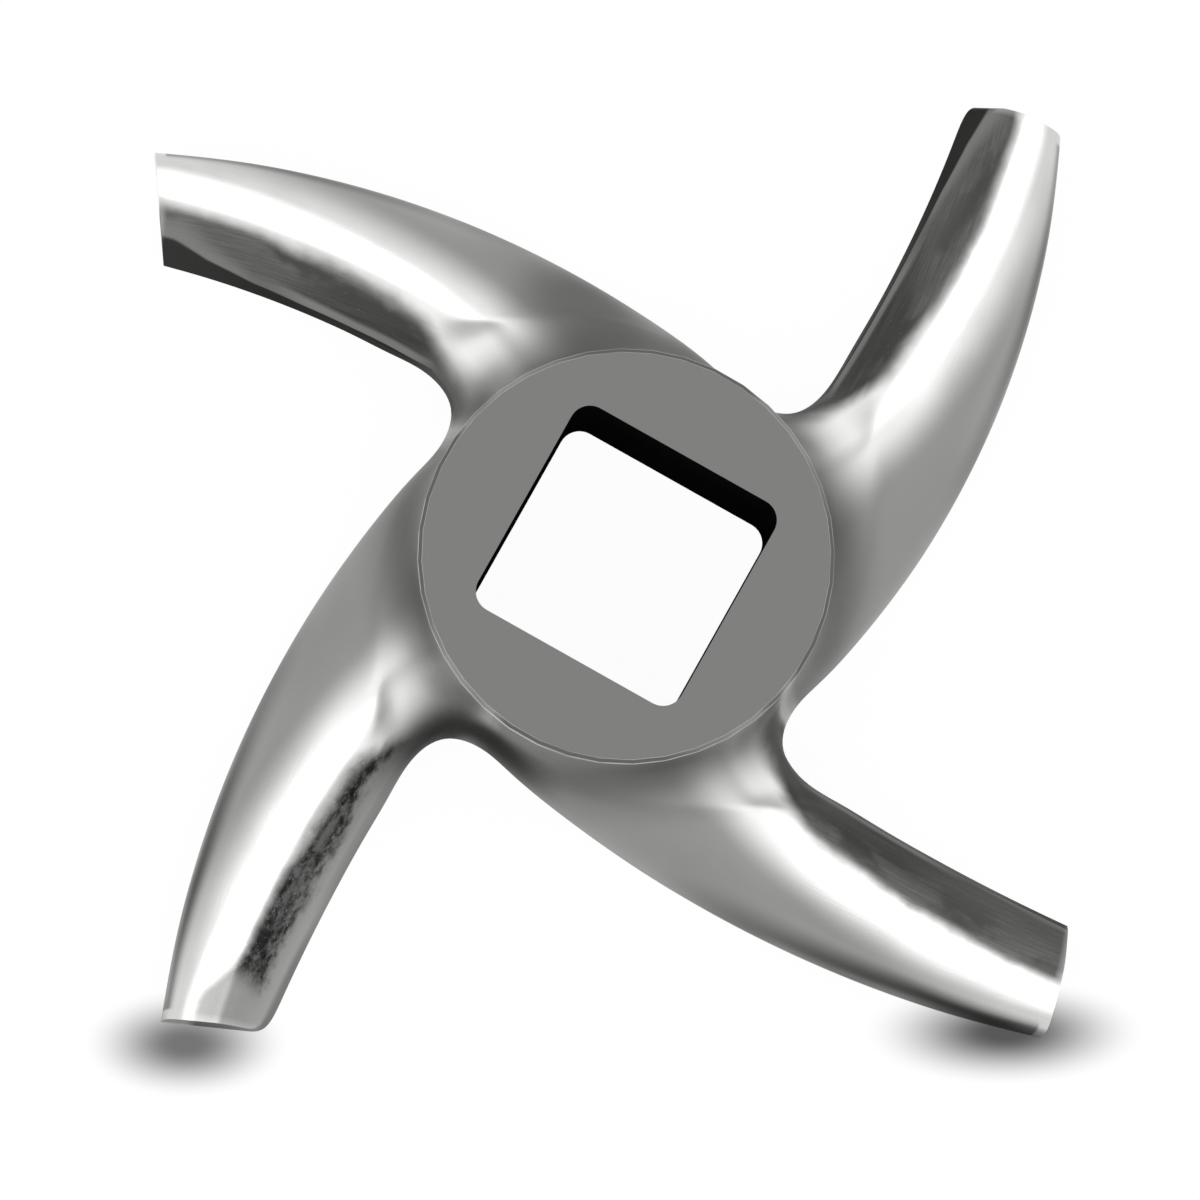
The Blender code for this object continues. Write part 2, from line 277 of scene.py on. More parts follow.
cage = pushed_out(loop, corners)
per_arm = len(loop) // ARMS
first_corner, second_corner = STATIONS - 1, STATIONS + ARM_COLUMNS - 2
outlines = []
for arm in range(ARMS):
    part = [turned(point, -arm) for point in cage[arm * per_arm : (arm + 1) * per_arm]]
    outlines.append(
        {
            "back": part[: first_corner + 1],
            "tip": part[first_corner : second_corner + 1],
            "front": part[second_corner : second_corner + STATIONS][::-1],
            "hollow": part[second_corner + STATIONS :],
        }
    )
widths = [(outline["tip"][0] - outline["tip"][-1]).length for outline in outlines]
print("tip widths, mm:", [round(1000 * width, 1) for width in widths])


# %% [markdown]
# ## Sections of the arms
#
# `section` gives one row of cage points, trailing edge first. The root's row is bent round the
# hub's axis, so that the arm grows out of the hub instead of being stuck to it. The facet beside
# the cutting edge is where the front was ground. On the first two arms it widens over the last
# third, and on the others it stays a hair wide.

# %% Work out the rows of points
def section(arm, station):
    outline = outlines[arm]
    back, front = outline["back"][station], outline["front"][station]
    share = station / (STATIONS - 1)
    growth = facet_growth_shares[station] * arm_shares["facet"][arm]
    crest = blend(*CREST_HEIGHTS, crest_fall_shares[station])
    trailing_height = blend(*TRAILING_HEIGHTS, share)
    facet_height = blend(*FACET_HEIGHTS, growth)
    start = leaned(back, front, TRAILING_LEAN)
    end = leaned(front, back, blend(*FACET_LEANS, growth))
    angles = [math.atan2(point.y, point.x) for point in (start, end)]
    row = []
    for column in range(ARM_COLUMNS):
        across = blend(across_shares["root"][column], across_shares["tip"][column], share)
        rise = blend(rise_shares["root"][column], rise_shares["tip"][column], share)
        point = blend(start, end, across)
        if station == 0:
            point = polar(blend(start.length, end.length, across), blend(*angles, across))
        edge_height = blend(trailing_height, facet_height, across)
        row.append(turned_place(at_height(point, blend(edge_height, crest, rise)), arm))
    return row


sections = [[section(arm, station) for station in range(STATIONS)] for arm in range(ARMS)]
brinks = [
    [
        turned_place(at_height(leaned(point, axis, BAY_LEAN), BAY_HEIGHT), arm)
        for point in outlines[arm]["hollow"]
    ]
    for arm in range(ARMS)
]
crests = [max(place.z for place in row) for row in sections[0]]
print("crest heights along an arm, mm:", [round(1000 * height, 1) for height in crests])

# %% [markdown]
# ## The hub
#
# Modelling starts from a circle with 40 points, ten for each arm and its bay. It is drawn a
# little larger than the hub, because subdivision pulls a ring of points in, and turned so that its
# points lie on the arms' columns. Its edges are extruded twice: once outwards and down for the
# rim's small chamfer, and once down the wall to where the arms leave it. A plain cylinder would
# end at one level, but this wall's foot has to rise and fall with the arms and bays.

# %% Start from a circle
step = math.tau / (ARMS * COLUMNS)
hub_radius = HUB_DIAMETER / 2 * 3 / (2 + math.cos(step))
bpy.ops.object.select_all(action="DESELECT")
bpy.ops.mesh.primitive_circle_add(
    vertices=ARMS * COLUMNS,
    radius=hub_radius - RIM_CHAMFER,
    location=(0, 0, HUB_HEIGHT),
    rotation=(0, 0, FIRST_COLUMN + math.tau / ARMS),
)
knife = bpy.context.object
knife.name = knife.data.name = "polished_knife"
bpy.ops.object.transform_apply(location=True, rotation=True)
bpy.ops.object.mode_set(mode="EDIT")


def pick(test, kind="verts"):
    """Selects, in edit mode, the vertices, edges or faces that pass the test, and nothing else."""
    bpy.ops.mesh.select_all(action="DESELECT")
    bm = bmesh.from_edit_mesh(knife.data)
    modes = {"verts": {"VERT"}, "edges": {"EDGE"}, "faces": {"FACE"}}
    bm.select_mode = modes[kind]
    found = [item for item in getattr(bm, kind) if test(item)]
    for item in found:
        item.select_set(True)
    bm.select_flush_mode()
    bmesh.update_edit_mesh(knife.data)
    return len(found)


print("points on the circle:", len(bmesh.from_edit_mesh(knife.data).verts))


# %% [markdown]
# `draw_out` is the one move that makes the whole casting: pick a run of points, extrude its
# edges, and put each new point in its place, as one would with E and G at the keyboard.

# %% The move that makes the casting
SAME_PLACE, SAME_LEVEL = 2e-7, 1e-7
WALL_FLARE = 0.00015


def near(place):
    """A test for the vertices that lie at this place."""
    return lambda vertex: (vertex.co - place).length < SAME_PLACE


def level_with(height):
    """A test for the vertices that lie at this height."""
    return lambda vertex: abs(vertex.co.z - height) < SAME_LEVEL


def pick_run(row):
    return pick(lambda vertex: any(near(place)(vertex) for place in row))


def put(place, target):
    """Moves the one selected point that lies at this place."""
    bm = bmesh.from_edit_mesh(knife.data)
    chosen = [vertex for vertex in bm.verts if vertex.select]
    moved = next(vertex for vertex in chosen if near(place)(vertex))
    for vertex in chosen:
        vertex.select_set(vertex is moved)
    bmesh.update_edit_mesh(knife.data)
    bpy.ops.transform.translate(value=target - place)
    bm = bmesh.from_edit_mesh(knife.data)
    rest = {vertex.index for vertex in chosen} - {moved.index}
    bm.verts.ensure_lookup_table()
    moved.select_set(False)
    for index in rest:
        bm.verts[index].select_set(True)


def draw_out(row, new_row):
    """Extrudes the run of edges through a row of points, and leaves its new points on new_row."""
    pick_run(row)
    bpy.ops.mesh.extrude_edges_move()
    for place, target in zip(row, new_row):
        put(place, target)
    return new_row


def ring(radius, heights):
    """A ring of points round the hub's axis, one for each height."""
    angles = [FIRST_COLUMN + i * step for i in range(len(heights))]
    return [at_height(polar(radius, angle), height) for angle, height in zip(angles, heights)]


places = ARMS * COLUMNS
face_ring = ring(hub_radius - RIM_CHAMFER, [HUB_HEIGHT] * places)
rim_ring = ring(hub_radius, [HUB_HEIGHT - RIM_CHAMFER] * places)
foot_heights = [HUB_HEIGHT * share for share in wall_foot_shares] * ARMS
wall_foot = ring(hub_radius + WALL_FLARE, foot_heights)
draw_out(face_ring, rim_ring)
draw_out(rim_ring, wall_foot)
print("faces on the hub:", len(bmesh.from_edit_mesh(knife.data).faces))

# %% [markdown]
# ## Four arms and four bays
#
# For each arm, the first eight points at the wall's foot are drawn out through the seven sections
# to the tip. The last three edges of its quarter are drawn out over the bay, the short web
# between two arms. The points that meet are merged, and the ring at the top is filled with one
# flat face.

# %% Draw out the arms, then the bays
MERGE_REACH = 1e-6
for arm in range(ARMS):
    row = wall_foot[arm * COLUMNS : arm * COLUMNS + ARM_COLUMNS]
    for new_row in sections[arm]:
        row = draw_out(row, new_row)
for arm in range(ARMS):
    bay_columns = range(arm * COLUMNS + ARM_COLUMNS - 1, (arm + 1) * COLUMNS + 1)
    next_root = sections[(arm + 1) % ARMS][0][0]
    shore = [sections[arm][0][-1], *brinks[arm], next_root]
    draw_out([wall_foot[column % places] for column in bay_columns], shore)
bpy.ops.mesh.select_all(action="SELECT")
bpy.ops.mesh.remove_doubles(threshold=MERGE_REACH)
on_top = level_with(HUB_HEIGHT)
pick(lambda edge: edge.is_boundary and all(map(on_top, edge.verts)), "edges")
bpy.ops.mesh.edge_face_add()
print("faces on the whole shell:", len(bmesh.from_edit_mesh(knife.data).faces))

# %% [markdown]
# ## Down to the cutting plane
#
# So far the casting is a sheet. Extruding all of it and scaling the copy to nothing in height
# lays a second sheet flat on the cutting plane, which is just what grinding the underside does.
# Last, the points of its outline move out to the ground outline, a little outside the edge
# above them. That gives the front its facet and the bay its slope.

# %% Press the copy flat and place its outline
bpy.ops.mesh.select_all(action="SELECT")
bpy.ops.mesh.extrude_region_move()
bpy.ops.transform.resize(value=(1, 1, 0), center_override=(0, 0, 0))
print("faces on the closed body:", len(bmesh.from_edit_mesh(knife.data).faces))

for arm in range(ARMS):
    outline, rows = outlines[arm], sections[arm]
    edge_to_foot = list(zip([row[0] for row in rows], outline["back"]))
    edge_to_foot += list(zip([row[-1] for row in rows], outline["front"]))
    edge_to_foot += list(zip(brinks[arm], outline["hollow"]))
    edge_to_foot += list(zip(rows[-1][1:-1], outline["tip"][1:-1]))
    pairs = [(at_height(place, 0), at_height(turned(foot, arm), 0)) for place, foot in edge_to_foot]
    pick_run([place for place, _ in pairs])
    for place, foot in pairs:
        put(place, foot)
bpy.ops.mesh.select_all(action="SELECT")
bpy.ops.mesh.normals_make_consistent(inside=False)


# %% [markdown]
# ## Creases
#
# A crease tells Subdivision Surface which edges stay sharp. On this knife these are the rim, the
# ground outline and the tips. The line where the facet ends is only firm, since polishing has
# run over it.

# %% Crease the edges that stay sharp
SHARP, FIRM = 1, 0.8


def crease(test, value):
    count = pick(test, "edges")
    bpy.ops.transform.edge_crease(value=value)
    return count


def joins(line):
    """A test for the edges that join neighbouring points of this line."""
    pairs = list(zip(line, line[1:]))

    def test(edge):
        one, other = edge.verts
        return any(
            (near(a)(one) and near(b)(other)) or (near(b)(one) and near(a)(other))
            for a, b in pairs
        )

    return test


def on_outline(edge):
    level = all(map(level_with(0), edge.verts))
    return level and any(abs(face.normal.z) < 0.8 for face in edge.link_faces)


def on_rim(edge):
    return all(vertex.co.z > HUB_HEIGHT - 1.1 * RIM_CHAMFER for vertex in edge.verts)


creased = crease(on_outline, SHARP) + crease(on_rim, SHARP)
for arm in range(ARMS):
    tip_row, outline = sections[arm][-1], outlines[arm]
    trailing_foot = at_height(turned(outline["back"][-1], arm), 0)
    leading_foot = at_height(turned(outline["front"][-1], arm), 0)
    creased += crease(joins(tip_row), SHARP)
    creased += crease(joins([tip_row[0], trailing_foot]), SHARP)
    if arm_shares["sharp corner"][arm]:
        creased += crease(joins([tip_row[-1], leading_foot]), SHARP)
    creased += crease(joins([row[-1] for row in sections[arm]]), FIRM)
print("creased edges:", creased)

# %% [markdown]
# ## Smoothing and the square hole
#
# Three levels of Subdivision Surface draw the casting's surface. The many coplanar faces of the
# hub's face and of the underside are then dissolved, so the hole is cut through two large flats.
# The cutter is a cube with its four upright edges bevelled.

# %% Smooth the cage
SUBDIVISIONS = 3


def select_only(item):
    bpy.ops.object.select_all(action="DESELECT")
    item.select_set(True)
    bpy.context.view_layer.objects.active = item


bpy.ops.object.mode_set(mode="OBJECT")
smooth = knife.modifiers.new("cast_form", "SUBSURF")
smooth.levels = smooth.render_levels = SUBDIVISIONS
select_only(knife)
bpy.ops.object.modifier_apply(modifier="cast_form")
print("faces after smoothing:", len(knife.data.polygons))

# %% Make each flat one face
bpy.ops.object.mode_set(mode="EDIT")
for height in (0, HUB_HEIGHT):
    pick(lambda face: all(map(level_with(height), face.verts)), "faces")
    bpy.ops.mesh.dissolve_faces()
bpy.ops.object.mode_set(mode="OBJECT")
print("faces after joining the flats:", len(knife.data.polygons))

# %% Cut the hole
CORNER_STEPS = 10
SMOOTH_BELOW = math.radians(35)
bpy.ops.object.select_all(action="DESELECT")
bpy.ops.mesh.primitive_cube_add(size=1, location=(0, 0, HUB_HEIGHT / 2))
cutter = bpy.context.object
cutter.scale = (HOLE_SIDE, HOLE_SIDE, 2 * HUB_HEIGHT)
bpy.ops.object.transform_apply(location=True, scale=True)
round_off = cutter.modifiers.new("corners", "BEVEL")
round_off.width = HOLE_CORNER
round_off.segments = CORNER_STEPS
round_off.limit_method = "WEIGHT"
weights = cutter.data.attributes.new("bevel_weight_edge", "FLOAT", "EDGE")
for edge in cutter.data.edges:
    low, high = (cutter.data.vertices[i].co for i in edge.vertices)
    weights.data[edge.index].value = float(abs(low.z - high.z) > HUB_HEIGHT)
bpy.ops.object.modifier_apply(modifier="corners")
hole = knife.modifiers.new("square_hole", "BOOLEAN")
hole.operation = "DIFFERENCE"
hole.object = cutter
select_only(knife)
bpy.ops.object.modifier_apply(modifier="square_hole")
bpy.data.objects.remove(cutter)
bpy.ops.object.shade_smooth_by_angle(angle=SMOOTH_BELOW)
print("faces with the hole:", len(knife.data.polygons))

# %% [markdown]
# ## Where each finish lies
#
# The finishes and the painted light follow the arm, so each point of the mesh is told where on its
# arm it lies. Its place across is 0 at the trailing edge and 1 at the cutting edge, from its
# distances to the two arcs. Its place along is 0 at the hub and 1 at the tip. `front` says how far
# the surface leans the way the knife turns, `facet` is 0 at the cutting edge and 1 where the facet
# ends, and `edge` marks the convex edges, which get a painted highlight with some wear. `third_arm`
# marks the one arm whose front is painted differently, and `ridge_shift` moves the line where the
# painted dark front begins, which differs from arm to arm. They are stored as point attributes that
# the materials read.

# %% Write down how far the finishes reach
RIDGE_SHIFTS = (-0.01, 0.035, 0.0, -0.085)
ROUGH_ARM = 2
ARM_START, ARM_LENGTH = 0.0125, 0.0235
BAY_REACH = 0.020
ARM_BORDER = 0.3
OFF_FACET = 9
SOFT_REACH = 0.0045
SOFT_PASSES = 30
LEAST_BEND, BEND_RANGE = 12, 30
FLAT_FOOT = 1e-4
print("how far each arm's ridge line is shifted:", RIDGE_SHIFTS)


# %% Store where each point lies on its arm
def read_vectors(source, name):
    values = np.empty(3 * len(source))
    source.foreach_get(name, values)
    return values.reshape(-1, 3)


points = read_vectors(knife.data.vertices, "co")
quarter_turn = np.array([[0.0, 1.0], [-1.0, 0.0]])
across, along, facet, third_arm, ridge_shift = (np.zeros(len(points)) for _ in range(5))
spot = points[:, :2].copy()
for arm in range(ARMS):
    trailing_centre, trailing_radius = trailing[arm]
    cutting_centre, cutting_radius = cutting[arm]
    bay_centre, cutting_root, next_root = bays[arm]
    from_trailing = trailing_radius - np.linalg.norm(spot - trailing_centre, axis=1)
    from_cutting = np.linalg.norm(spot - cutting_centre, axis=1) - cutting_radius
    from_bay = np.linalg.norm(spot - bay_centre, axis=1) - BAY_FILLET
    from_front = np.maximum(np.where(spot[:, 0] > cutting_root.x, from_cutting, from_bay), 0)
    last_root = turned(bays[arm - 1][2], -1)
    angle = np.arctan2(spot[:, 1], spot[:, 0])
    beyond_bay = np.linalg.norm(spot, axis=1) > BAY_REACH
    last_turn, next_turn = (math.atan2(root.y, root.x) for root in (last_root, next_root))
    first_angle = np.where(beyond_bay, ARM_BORDER - math.pi / 2, last_turn)
    last_angle = np.where(beyond_bay, ARM_BORDER, next_turn)
    here = (angle > first_angle) & (angle <= last_angle)
    total = np.maximum(from_trailing + from_front, 1e-5)
    across[here] = np.clip(from_trailing / total, 0, 1)[here]
    along[here] = np.clip((spot[:, 0] - ARM_START) / ARM_LENGTH, 0, 1)[here]
    stations = [point.x for point in outlines[arm]["front"]]
    growths = np.array(facet_growth_shares) * arm_shares["facet"][arm]
    widths = np.interp(spot[:, 0], stations, [blend(*FACET_LEANS, growth) for growth in growths])
    facet[here] = np.clip(from_front / widths, 0, OFF_FACET)[here]
    third_arm[here] = float(arm == ROUGH_ARM)
    ridge_shift[here] = RIDGE_SHIFTS[arm]
    spot = spot @ quarter_turn.T

normals = read_vectors(knife.data.vertex_normals, "vector")
radius = np.linalg.norm(points[:, :2], axis=1)
leading = np.stack([-points[:, 1], points[:, 0]], 1) / radius[:, None]
lean = (normals[:, :2] * leading).sum(1)
print("points on the knife:", len(points))

# %% [markdown]
# Where one arm's root meets the next arm's, these values would jump. Averaging each point near
# the hub with its neighbours, many times over, turns the jump into a soft change.

# %% Soften the values round the hub
pairs = np.empty(2 * len(knife.data.edges), dtype=np.int32)
knife.data.edges.foreach_get("vertices", pairs)
one, other = pairs.reshape(-1, 2).T
neighbours = np.bincount(one, minlength=len(points)) + np.bincount(other, minlength=len(points))
near_hub = radius < HUB_DIAMETER / 2 + SOFT_REACH
for values in (across, along, facet, third_arm, ridge_shift):
    for _ in range(SOFT_PASSES):
        total = np.bincount(one, values[other], len(points))
        total += np.bincount(other, values[one], len(points))
        values[near_hub] = (total / neighbours)[near_hub]
print("points softened:", int(near_hub.sum()))

# %% Find the convex edges above the cutting plane, and store everything
bm = bmesh.new()
bm.from_mesh(knife.data)
bm.verts.ensure_lookup_table()
# The convex edges get a painted highlight; this share of it is stored as `edge`.
edge_highlight_share = np.zeros(len(points))
for edge in bm.edges:
    if len(edge.link_faces) == 2 and edge.verts[0].co.z > FLAT_FOOT:
        bend = math.degrees(edge.calc_face_angle_signed(0))
        share = min(max(bend - LEAST_BEND, 0) / BEND_RANGE, 1)
        for vertex in edge.verts:
            edge_highlight_share[vertex.index] = max(edge_highlight_share[vertex.index], share)
bm.free()
for name, values in (
    ("across", across),
    ("along", along),
    ("facet", facet),
    ("third_arm", third_arm),
    ("ridge_shift", ridge_shift),
    ("front", lean),
    ("edge", edge_highlight_share),
):
    attribute = knife.data.attributes.new(name, "FLOAT", "POINT")
    attribute.data.foreach_set("value", values.astype(np.float32))
    print(name, "from", round(float(values.min()), 2), "to", round(float(values.max()), 2))


# %% [markdown]
# ## Shared effects
#
# Two effects are node groups, each built once. `fine_scratches` gives the hair-thin marks that an
# abrasive belt or stone leaves, and also the specks and nicks: each use stretches or shrinks the
# place it is given. `pitting` gives the small pits of cast skin: the dark spots of a cell
# texture, kept only where a coarser noise lets them through.

# %% Helpers for node trees
def feed(tree, socket, value):
    """Links a socket's value in, or sets a constant."""
    if isinstance(value, bpy.types.NodeSocket):
        tree.links.new(value, socket)
    else:
        socket.default_value = value


def node(tree, kind, settings=(), **inputs):
    """Adds a node. An input is named, or numbered as in n0, n1."""
    made = tree.nodes.new(kind)
    for name, value in dict(settings).items():
        setattr(made, name, value)
    for name, value in inputs.items():
        feed(tree, made.inputs[int(name[1:]) if name[1:].isdigit() else name], value)
    return made


def maths(tree, operation, *values, clamp=False):
    settings = {"operation": operation, "use_clamp": clamp}
    inputs = {f"n{i}": value for i, value in enumerate(values)}
    return node(tree, "ShaderNodeMath", settings, **inputs).outputs[0]


def vector(tree, operation, *values, output="Vector"):
    inputs = {f"n{i}": value for i, value in enumerate(values)}
    return node(tree, "ShaderNodeVectorMath", {"operation": operation}, **inputs).outputs[output]


def ramp(tree, value, low, high, low_out=0.0, high_out=1.0):
    """A smooth step from low_out to high_out as the value goes from low to high."""
    made = node(
        tree,
        "ShaderNodeMapRange",
        {"interpolation_type": "SMOOTHSTEP"},
        n0=value,
        n1=low,
        n2=high,
        n3=low_out,
        n4=high_out,
    )
    return made.outputs[0]


def noise(tree, place, scale, detail, roughness=0.5):
    inputs = {"Vector": place, "Scale": scale, "Detail": detail, "Roughness": roughness}
    return node(tree, "ShaderNodeTexNoise", **inputs).outputs["Fac"]


def group(name, inputs, outputs):
    """Makes an empty node group, and gives its tree and the nodes at its two ends."""
    tree = bpy.data.node_groups.new(name, "ShaderNodeTree")
    for socket, kind, value in inputs:
        made = tree.interface.new_socket(socket, in_out="INPUT", socket_type=kind)
        if value is not None:
            made.default_value = value
    for socket in outputs:
        tree.interface.new_socket(socket, in_out="OUTPUT", socket_type="NodeSocketFloat")
    return tree, tree.nodes.new("NodeGroupInput"), tree.nodes.new("NodeGroupOutput")


# %% Build the two groups
scratches, given, result = group(
    "fine_scratches",
    [("Vector", "NodeSocketVector", None), ("Scale", "NodeSocketFloat", 1000.0)],
    ["Height"],
)
fine = node(
    scratches,
    "ShaderNodeTexNoise",
    Vector=given.outputs["Vector"],
    Scale=given.outputs["Scale"],
    Detail=4.0,
    Roughness=0.6,
)
scratches.links.new(fine.outputs["Fac"], result.inputs["Height"])

pitting, given, result = group(
    "pitting",
    [
        ("Vector", "NodeSocketVector", None),
        ("Scale", "NodeSocketFloat", 2500.0),
        ("Amount", "NodeSocketFloat", 0.5),
    ],
    ["Mask"],
)
cells = node(
    pitting,
    "ShaderNodeTexVoronoi",
    Vector=given.outputs["Vector"],
    Scale=given.outputs["Scale"],
)
patches = node(
    pitting,
    "ShaderNodeTexNoise",
    Vector=given.outputs["Vector"],
    Scale=maths(pitting, "DIVIDE", given.outputs["Scale"], 5.0),
    Detail=3.0,
)
spots = ramp(pitting, cells.outputs["Distance"], 0.42, 0.18)
let_through = maths(pitting, "MULTIPLY", given.outputs["Amount"], 0.4)
threshold = maths(pitting, "SUBTRACT", 0.75, let_through)
shown = ramp(pitting, patches.outputs["Fac"], threshold, maths(pitting, "ADD", threshold, 0.08))
pitting.links.new(maths(pitting, "MULTIPLY", spots, shown), result.inputs["Mask"])
print("node groups:", [tree.name for tree in (scratches, pitting)])


# %% [markdown]
# ## Polished steel
#
# The arms' backs are belt polished, and their steep fronts are duller and painted dark, a painted
# dark reflection. The line between the two starts close to the cutting edge at the hub and crosses
# over to the middle of the arm at the tip. A painted highlight lies just behind it. The back's
# outer edge and its steep wall are painted greyer, as dimmer reflections.

# %% Helpers for materials
def new_material(name):
    """Makes a metal, and gives the material, its node tree and its shader."""
    material = bpy.data.materials.new(name)
    material.use_nodes = True
    tree = material.node_tree
    shader = tree.nodes["Principled BSDF"]
    shader.inputs["Metallic"].default_value = 1.0
    return material, tree, shader


def attribute(tree, name):
    return node(tree, "ShaderNodeAttribute", {"attribute_name": name}).outputs["Fac"]


def use_group(tree, shared, **inputs):
    return node(tree, "ShaderNodeGroup", {"node_tree": shared}, **inputs).outputs[0]


def mixed(tree, share, first, last):
    """The first colour where the share is 0, and the last where it is 1."""
    made = node(tree, "ShaderNodeMix", {"data_type": "RGBA"}, n0=share, n6=first, n7=last)
    return made.outputs[2]


def grey(level):
    """A steel grey: blue is a touch weaker than red and green."""
    return (level, level, 0.985 * level, 1)


# %% Find the zones of an arm
# Both lines give a place across the arm, which falls from the hub to the tip.
RIDGE_AT_HUB, RIDGE_FALL = 0.80, 0.31
GLINT_AT_HUB, GLINT_FALL = 0.60, 0.45
polished, tree, shader = new_material("polished_cast_steel")
place = node(tree, "ShaderNodeTexCoord").outputs["Object"]
across_in, along_in, front_in, facet_in, edge_highlight_in, third_in = (
    attribute(tree, name) for name in ("across", "along", "front", "facet", "edge", "third_arm")
)


def on_arm(across_scale, along_scale):
    """The place on the arm as a texture sees it, with both directions scaled."""
    x = maths(tree, "MULTIPLY", across_in, across_scale)
    y = maths(tree, "MULTIPLY", along_in, along_scale)
    return node(tree, "ShaderNodeCombineXYZ", X=x, Y=y).outputs[0]


ridge = maths(tree, "SUBTRACT", RIDGE_AT_HUB, maths(tree, "MULTIPLY", along_in, RIDGE_FALL))
ridge = maths(tree, "ADD", ridge, attribute(tree, "ridge_shift"))
ridge = maths(tree, "ADD", ridge, ramp(tree, along_in, 0.26, 0.08, 0.0, 0.13))
tip_dip = ramp(tree, along_in, 0.84, 1.0, 0.0, 0.22)
ridge = maths(tree, "SUBTRACT", ridge, maths(tree, "MULTIPLY", tip_dip, third_in))
past_ridge = maths(tree, "SUBTRACT", across_in, ridge)
clouds = noise(tree, place, 260.0, 5.0)
uneven = maths(tree, "MULTIPLY", maths(tree, "SUBTRACT", clouds, 0.5), 0.14)
# Where the front is painted dark, a painted dark reflection; the front is also rougher.
painted_dark_front = ramp(tree, maths(tree, "ADD", past_ridge, uneven), -0.06, 0.08)
glint = maths(tree, "SUBTRACT", GLINT_AT_HUB, maths(tree, "MULTIPLY", along_in, GLINT_FALL))
past_glint = maths(tree, "SUBTRACT", across_in, glint)
steep_back = ramp(tree, front_in, -0.60, -0.80)
down_front = maths(tree, "DIVIDE", past_ridge, maths(tree, "SUBTRACT", 1.0, ridge), clamp=True)
print("nodes that find the zones:", len(tree.nodes))

# %% Paint the reflections on the back
# Painted reflection: grey on the broad back, dimmer on the steep wall, and a painted highlight just
# behind the glint line.
painted_steep_dim = mixed(tree, ramp(tree, along_in, 0.0, 0.6), grey(0.18), grey(0.105))
painted_dim_back = mixed(tree, steep_back, grey(0.31), painted_steep_dim)
bright = mixed(tree, ramp(tree, clouds, 0.3, 0.7), grey(0.68), grey(0.74))
painted_back_tone = mixed(tree, ramp(tree, past_glint, -0.24, 0.02), painted_dim_back, bright)
painted_back_tone = mixed(tree, ramp(tree, past_glint, 0.02, 0.12), painted_back_tone, grey(0.95))
print("nodes with the back:", len(tree.nodes))

# %% [markdown]
# The front is painted dark, a painted dark reflection, and streaked along the arm and nicked here
# and there. The third arm's front is painted differently: a dark, pitted band runs beside its
# ridge, and beyond the band a lighter reflection is painted.

# %% Draw the streaks and the nicks
streaks = use_group(tree, scratches, Vector=on_arm(14.0, 1.0), Scale=6.0)
nicks = use_group(tree, scratches, Vector=on_arm(60.0, 22.0), Scale=3.0)
light_nicks = maths(tree, "MULTIPLY", ramp(tree, nicks, 0.66, 0.70), 0.5)
dark_nicks = maths(tree, "MULTIPLY", ramp(tree, nicks, 0.34, 0.30), 0.6)
print("nodes with the marks:", len(tree.nodes))

# %% Paint the front's dark reflection
# The front's dark tones are painted dark reflection; the streaks and nicks are marks.
streaky = ramp(tree, streaks, 0.35, 0.7)
mottle = ramp(tree, clouds, 0.42, 0.60)
near_ridge = mixed(tree, mottle, grey(0.085), mixed(tree, streaky, grey(0.12), grey(0.17)))
low_front = mixed(tree, streaky, grey(0.075), grey(0.110))
low_tip = mixed(tree, streaky, grey(0.125), grey(0.170))
low_front = mixed(tree, ramp(tree, along_in, 0.4, 0.75), low_front, low_tip)
front_tone = mixed(tree, ramp(tree, down_front, 0.25, 0.75), near_ridge, low_front)
front_tone = mixed(tree, light_nicks, front_tone, grey(0.35))
front_tone = mixed(tree, dark_nicks, front_tone, grey(0.02))
print("nodes with the front:", len(tree.nodes))

# %% Paint the third arm's dark band and its lighter front
blotches = noise(tree, place, 700.0, 8.0, 0.72)
specks = use_group(tree, scratches, Vector=place, Scale=3800.0)
bright_specks = maths(tree, "MULTIPLY", ramp(tree, specks, 0.60, 0.72), 0.6)
torn = maths(tree, "MULTIPLY", maths(tree, "SUBTRACT", blotches, 0.5), 0.5)
ragged = maths(tree, "ADD", down_front, torn)
band_end = ramp(tree, along_in, 0.05, 0.45, 0.26, 0.50)
past_band = maths(tree, "SUBTRACT", ragged, band_end)
# The band is painted dark, a painted dark reflection, with blotches and specks as pits.
painted_dark_pitted_band = mixed(tree, ramp(tree, blotches, 0.40, 0.62), grey(0.025), grey(0.15))
painted_dark_pitted_band = mixed(tree, bright_specks, painted_dark_pitted_band, grey(0.40))
# Beyond the band, a lighter reflection is painted.
painted_light_front = mixed(tree, ramp(tree, down_front, 0.5, 1.0), grey(0.34), grey(0.46))
by_tip = ramp(tree, along_in, 0.84, 0.92)
off_band = maths(tree, "MAXIMUM", ramp(tree, past_band, -0.05, 0.22), by_tip)
third_tone = mixed(tree, off_band, painted_dark_pitted_band, painted_light_front)
third_tone = mixed(tree, light_nicks, third_tone, grey(0.7))
at_root, at_front = ramp(tree, along_in, 0.16, 0.02), ramp(tree, across_in, 0.72, 0.90)
# Painted shade darkens the third arm's front at its root, by the bay.
third_bay_shade = maths(tree, "MULTIPLY", at_root, at_front)
third_tone = mixed(tree, third_bay_shade, third_tone, painted_dark_pitted_band)
front_tone = mixed(tree, third_in, front_tone, third_tone)
tone = mixed(tree, painted_dark_front, painted_back_tone, front_tone)
print("nodes with the third arm:", len(tree.nodes))

# %% [markdown]
# The facet beside the cutting edge is painted nearly black, a painted dark reflection, with
# painted highlights along it. Painted shade darkens the steel against the hub, in the bays and in
# two patches.

